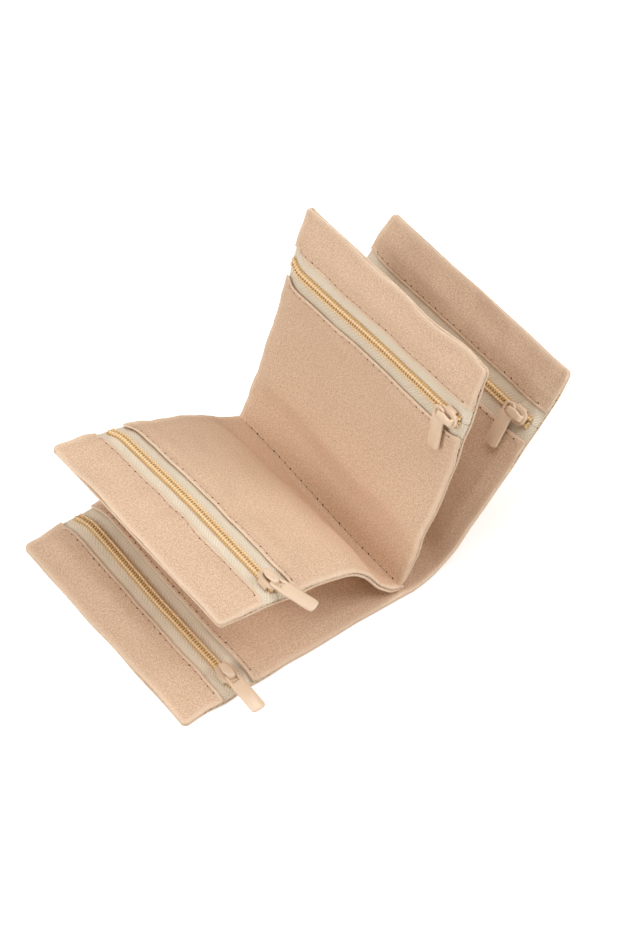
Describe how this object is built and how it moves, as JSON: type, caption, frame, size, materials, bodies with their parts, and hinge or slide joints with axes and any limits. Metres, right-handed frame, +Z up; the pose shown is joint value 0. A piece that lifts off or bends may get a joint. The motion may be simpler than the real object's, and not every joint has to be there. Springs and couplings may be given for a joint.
{
  "type": "jewelry roll",
  "caption": "Soft book-fold jewelry organiser: zipped cloth pocket leaves sewn along one spine, with a slider and pull tab on every zip.",
  "frame": {"origin": "middle of the spine on the underside of the outer sheet, on the surface that the organiser lies on", "axes": "+Z up, +Y along the spine towards the closed ends of the zips, +X across the leaves towards the raised cover"},
  "size_m": [0.2162, 0.141, 0.1212],
  "materials": {
    "suede": "brushed peach microsuede with a short soft nap",
    "zip_tape": "cream herringbone zip tape",
    "zip_coil": "gold-coloured coil, satin",
    "enamel": "glossy nude enamel on cast metal",
    "thread": "matt sewing thread matched to the cloth"
  },
  "bodies": {
    "left_cover": {"spine_strip": "suede", "left_cover_back_panel": "suede", "left_cover_front_panel": "suede", "left_cover_edge_band": "suede", "left_cover_zip_tape_inner": "zip_tape", "left_cover_zip_tape_outer": "zip_tape", "left_cover_zip_coil_inner": "zip_coil", "left_cover_zip_coil_outer": "zip_coil", "left_cover_topstitch_inner": "thread", "left_cover_topstitch_outer": "thread"},
    "left_hem": {"left_page_hem": "suede", "spine_stitch": "thread"},
    "right_hem": {"right_page_hem": "suede"},
    "left_page": {"left_page_back_panel": "suede", "left_page_front_panel": "suede", "left_page_edge_band": "suede", "left_page_zip_tape_inner": "zip_tape", "left_page_zip_tape_outer": "zip_tape", "left_page_zip_coil_inner": "zip_coil", "left_page_zip_coil_outer": "zip_coil", "left_page_topstitch_inner": "thread", "left_page_topstitch_outer": "thread"},
    "right_page": {"right_page_back_panel": "suede", "right_page_front_panel": "suede", "right_page_edge_band": "suede", "right_page_zip_tape_inner": "zip_tape", "right_page_zip_tape_outer": "zip_tape", "right_page_zip_coil_inner": "zip_coil", "right_page_zip_coil_outer": "zip_coil", "right_page_topstitch_inner": "thread", "right_page_topstitch_outer": "thread"},
    "right_cover": {"right_cover_back_panel": "suede", "right_cover_front_panel": "suede", "right_cover_edge_band": "suede", "right_cover_zip_tape_inner": "zip_tape", "right_cover_zip_tape_outer": "zip_tape", "right_cover_zip_coil_inner": "zip_coil", "right_cover_zip_coil_outer": "zip_coil", "right_cover_topstitch_inner": "thread", "right_cover_topstitch_outer": "thread"},
    "left_cover_slider": {"left_cover_slider": "enamel"},
    "left_page_slider": {"left_page_slider": "enamel"},
    "right_page_slider": {"right_page_slider": "enamel"},
    "right_cover_slider": {"right_cover_slider": "enamel"},
    "left_cover_pull": {"left_cover_pull_tab": "enamel"},
    "left_page_pull": {"left_page_pull_tab": "enamel"},
    "right_page_pull": {"right_page_pull_tab": "enamel"},
    "right_cover_pull": {"right_cover_pull_tab": "enamel"}
  },
  "joints": [
    {"name": "cover_fold", "type": "hinge", "parent": "left_cover", "child": "right_cover", "pos_m": [0.01509, 0, 0.00399], "axis": [0, 1, 0], "range_deg": [-92, 47]},
    {"name": "left_hem_fold", "type": "hinge", "parent": "left_cover", "child": "left_hem", "pos_m": [-0.00105, 0, 0.00375], "axis": [0, 1, 0], "range_deg": [-26, 14]},
    {"name": "right_hem_fold", "type": "hinge", "parent": "left_cover", "child": "right_hem", "pos_m": [0.00105, 0, 0.00615], "axis": [0, 1, 0], "range_deg": [-79, 41]},
    {"name": "left_page_turn", "type": "hinge", "parent": "left_hem", "child": "left_page", "pos_m": [-0.00892, 0, 0.01281], "axis": [0, 1, 0], "range_deg": [0, 34]},
    {"name": "right_page_turn", "type": "hinge", "parent": "right_hem", "child": "right_page", "pos_m": [0.00554, 0, 0.01728], "axis": [0, -1, 0], "range_deg": [0, 28]},
    {"name": "left_cover_zip", "type": "slide", "parent": "left_cover", "child": "left_cover_slider", "axis": [0, 1, 0], "range_m": [0, 0.108]},
    {"name": "left_page_zip", "type": "slide", "parent": "left_page", "child": "left_page_slider", "axis": [0, 1, 0], "range_m": [0, 0.108]},
    {"name": "right_page_zip", "type": "slide", "parent": "right_page", "child": "right_page_slider", "axis": [0, 1, 0], "range_m": [0, 0.108]},
    {"name": "right_cover_zip", "type": "slide", "parent": "right_cover", "child": "right_cover_slider", "axis": [0, 1, 0], "range_m": [0, 0.108]},
    {"name": "left_cover_pull_lift", "type": "hinge", "parent": "left_cover_slider", "child": "left_cover_pull", "pos_m": [-0.0965, -0.0561, 0.0086], "axis": [-1, 0, 0], "range_deg": [0, 105]},
    {"name": "left_page_pull_lift", "type": "hinge", "parent": "left_page_slider", "child": "left_page_pull", "pos_m": [-0.07234, -0.05616, 0.05708], "axis": [-0.9097, -0.3584, 0.21], "range_deg": [0, 95]},
    {"name": "right_page_pull_swing", "type": "hinge", "parent": "right_page_slider", "child": "right_page_pull", "pos_m": [0.02331, -0.0507, 0.0944], "axis": [0.9563, 0, -0.2924], "range_deg": [-8, 82]},
    {"name": "right_cover_pull_swing", "type": "hinge", "parent": "right_cover_slider", "child": "right_cover_pull", "pos_m": [0.06454, -0.0507, 0.06767], "axis": [0.7547, 0, -0.6561], "range_deg": [-8, 82]}
  ],
  "couplings": [
    {"joint": "left_hem_fold", "follows": "cover_fold", "ratio": 0.27},
    {"joint": "right_hem_fold", "follows": "cover_fold", "ratio": 0.84}
  ]
}
